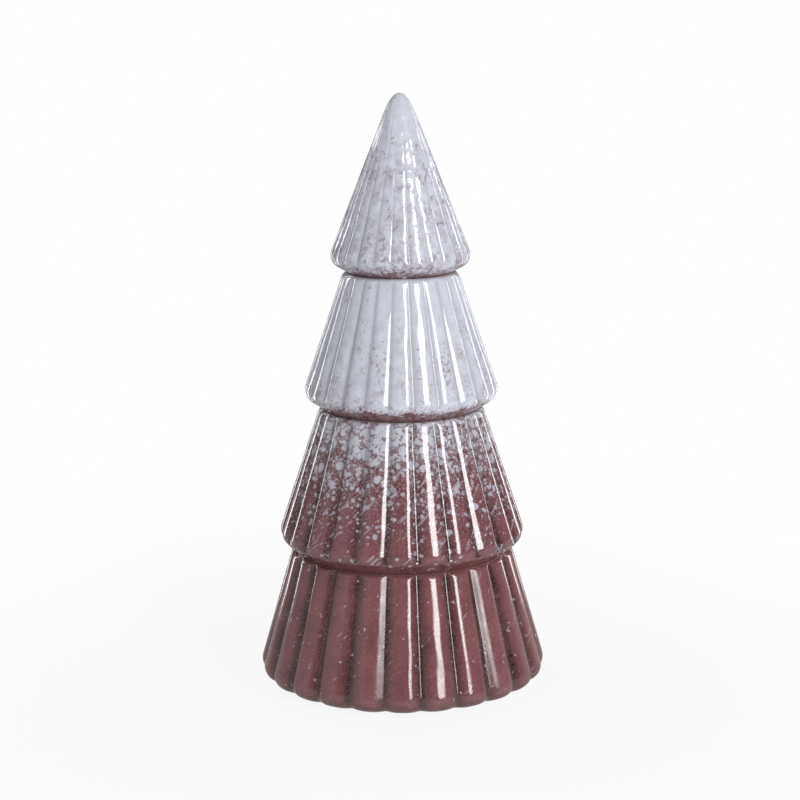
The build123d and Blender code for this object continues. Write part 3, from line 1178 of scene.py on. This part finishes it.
@dataclass
class Studio:
    """White floor, soft lamps, white surroundings and the camera."""

    camera_place: tuple[float, float, float] = (-0.0004, -0.68905, 0.24105)
    camera_pitch: float = radians(11.82)
    camera_roll: float = radians(-0.35)
    lens: float = 93.54
    sensor: float = 36.0
    floor_half_size: float = 4.0
    floor_colour: Colour = paint(245, 245, 245)
    floor_glow: float = 0.9
    white_from: float = 0.05
    white_to: float = 0.3
    floor_mirror: float = 0.45
    mirror_level: float = 0.08
    fill_level: float = 0.27

    def build(self) -> None:
        """Set the whole stage."""
        bpy.context.scene.view_settings.view_transform = "Standard"
        self.lay_floor()
        self.light()
        self.surround()
        self.look()

    def lay_floor(self) -> None:
        """Lay the white floor, which glows for the camera, keeps the shadow and is dim in reflections."""
        half = self.floor_half_size
        corners = [(-half, -half, 0), (half, -half, 0), (half, half, 0), (-half, half, 0)]
        mesh = bpy.data.meshes.new("floor")
        mesh.from_pydata(corners, [], [(0, 1, 2, 3)])
        made = bpy.data.materials.new("floor_white")
        bench = NodeBench.of(made)
        path = bench.put("ShaderNodeLightPath").outputs
        seen, mirrored = path["Is Camera Ray"], path["Is Glossy Ray"]
        reach = bench.put("ShaderNodeVectorMath", {"Vector": bench.place()}, operation="LENGTH")
        away = (self.white_from, self.white_to, self.floor_glow, 1.0)
        whitened = bench.ramp(reach.outputs["Value"], *away)
        strength = bench.times_plus(mirrored, self.floor_mirror, seen)
        matt = bench.put("ShaderNodeBsdfDiffuse", {"Color": self.floor_colour}).outputs["BSDF"]
        glow = bench.put("ShaderNodeEmission", {"Color": FULL_WHITE, "Strength": strength})
        parts = (bench.times_plus(seen, whitened, mirrored), matt, glow.outputs["Emission"])
        mixed = bench.put("ShaderNodeMixShader", dict(enumerate(parts)))
        bench.put("ShaderNodeOutputMaterial", {"Surface": mixed.outputs["Shader"]})
        mesh.materials.append(made)
        new_object("floor", mesh)

    def light(self) -> None:
        """Place a soft box right of the front, a wide weak one on the left and two strips behind."""
        SoftBox("key_box", azimuth=radians(33), elevation=radians(21), distance=1.0,
                width=0.32, height=0.63, radiance=8.6).place()
        SoftBox("left_box", azimuth=radians(-70), elevation=radians(25), distance=1.6,
                width=2.4, height=2.0, radiance=0.24).place()
        for side in (-1, 1):
            SoftBox("side_strip", azimuth=side * radians(131), elevation=0.0, distance=0.26,
                    width=0.036, height=0.296, radiance=5.0, aim_height=0.15).place()

    def surround(self) -> None:
        """White for the camera, an even fill for the light and dim in the reflections."""
        world = bpy.context.scene.world or bpy.data.worlds.new("surround")
        bpy.context.scene.world = world
        bench = NodeBench.of(world)
        path = bench.put("ShaderNodeLightPath").outputs
        dimmer = self.mirror_level - self.fill_level
        level = bench.times_plus(path["Is Glossy Ray"], dimmer, self.fill_level)
        level = bench.larger(level, path["Is Camera Ray"])
        sky = bench.put("ShaderNodeBackground", {"Color": FULL_WHITE, "Strength": level})
        bench.put("ShaderNodeOutputWorld", {"Surface": sky.outputs["Background"]})

    def look(self) -> None:
        """Put the camera at the photograph's viewing angle."""
        camera = bpy.data.cameras.new("camera")
        camera.lens = self.lens
        camera.sensor_width = self.sensor
        tilt = Matrix.Rotation(pi / 2 - self.camera_pitch, 4, "X")
        roll = Matrix.Rotation(self.camera_roll, 4, "Z")
        placed = new_object("camera", camera)
        placed.matrix_world = Matrix.Translation(self.camera_place) @ tilt @ roll
        bpy.context.scene.camera = placed


SNOW = Glaze(
    name="snow_glaze", top_cover=1.4, rim_cover=1.3, low=0.0, high=0.3, pool=0.1, drops=0.0, specks=0.5,
    gloss=0.07, hem=0.37, broken=0.3, grain=0.05, bump_height=0.0006,
)
CLEAN_SNOW = replace(SNOW, name="clean_snow_glaze", specks=0.38, bump_height=0.00026)
# The flecked glaze has the strongest painted shade in its grooves
FLECKED = Glaze(
    name="flecked_glaze", top_cover=0.65, rim_cover=0.15, low=0.0, high=1.0, pool=0.2, drops=0.33,
    specks=0.5, gloss=0.08, hem=0.3, broken=0.6, grain=0.3, bump_height=0.00008, hollow=1.15,
)
MAUVE = Glaze(
    name="mauve_glaze", top_cover=0.0, rim_cover=0.0, low=0.2, high=1.0, pool=0.0, drops=0.18, specks=0.3,
    gloss=0.07, hem=0.3, broken=0.1, grain=0.6, bump_height=0.00009,
)
CLAY = PlainFinish(
    name="bare_ceramic", dark=paint(190, 178, 164), pale=paint(219, 210, 198), grain_scale=1500.0,
    roughness=0.72, bump_height=0.00015,
)
RUBBER = PlainFinish(
    name="bumper_rubber", dark=paint(52, 50, 50), pale=paint(84, 82, 80), grain_scale=2200.0,
    roughness=0.6, bump_height=0.00008,
)


def main() -> None:
    """Build the tiers from the tip down, dress the foot and set the stage."""
    logging.basicConfig(level=logging.INFO, format="%(message)s")
    run = SnowRun(GlazeColours())
    apex = ApexTier(
        "apex_tier", slot="snow_glaze", above="", neck_radius=0.0175, top_radius=0.0026, rim_rise=0.0057,
        rim_round=0.004, rib_depth=0.0008, top_rib_depth=0.0002, pool_share=0.06,
    )
    upper = FlutedTier(
        "upper_tier", slot="snow_glaze", above="apex_tier", neck_radius=0.0260, top_radius=0.0193,
        rim_rise=0.0065, rim_round=0.004, rib_depth=0.0015, top_rib_depth=0.0006, pool_share=0.1,
    )
    lower = FlutedTier(
        "lower_tier", slot="flecked_glaze", above="upper_tier", neck_radius=0.03585, top_radius=0.0278,
        rim_rise=0.0068, rim_round=0.004, rib_depth=0.0022, top_rib_depth=0.0014,
    )
    base = BaseTier(
        "base_tier", slot="mauve_glaze", above="lower_tier", neck_radius=0.04475, top_radius=0.03765,
        rim_rise=0.0047, rim_round=0.0045, rib_depth=0.0030, top_rib_depth=0.0022, dry_ribs=(23, 3),
    )
    for tier, glaze in ((apex, SNOW), (upper, CLEAN_SNOW), (lower, FLECKED), (base, MAUVE)):
        piece = tier.build(glaze.material(run))
        log.info("%s: %d points", piece.name, len(piece.data.vertices))
    for name in FootSet().dress(CLAY.material(run), RUBBER.material(run)):
        log.info("%s: dressed", name)
    Studio().build()


if __name__ == "__main__":
    main()
